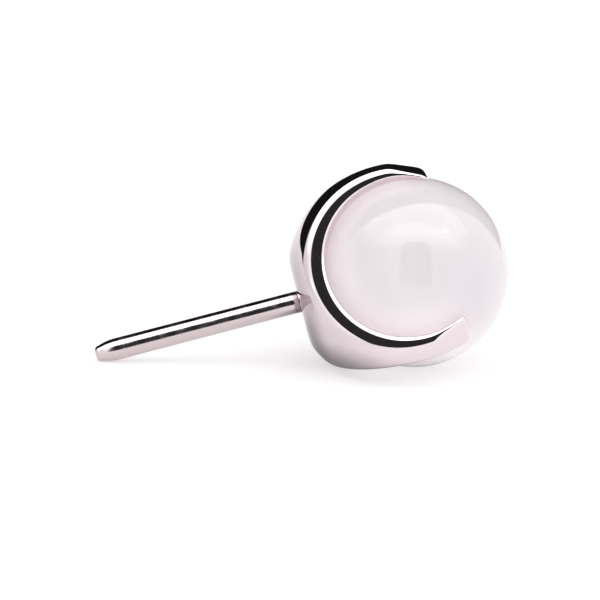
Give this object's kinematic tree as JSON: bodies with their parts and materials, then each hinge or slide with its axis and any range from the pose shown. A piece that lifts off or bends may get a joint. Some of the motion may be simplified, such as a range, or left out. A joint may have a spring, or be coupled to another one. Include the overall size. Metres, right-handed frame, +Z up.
{
  "type": "threadless piercing end",
  "caption": "Push-in end for body jewellery: a round polished stone held by a clawed cup, on a plain pin.",
  "frame": {"origin": "on the surface that the part lies on, under the middle of its box", "axes": "+X from the tip of the pin toward the stone, +Z up; the pin leans down toward -X as it rests"},
  "size_m": [0.0086, 0.0044, 0.0043],
  "materials": {
    "stone": "polished, milky and translucent",
    "setting_metal": "mirror-polished titanium",
    "pin_metal": "polished titanium wire"
  },
  "bodies": {
    "root": {"stone": "stone", "claw_setting": "setting_metal", "pin": "pin_metal"}
  },
  "joints": []
}
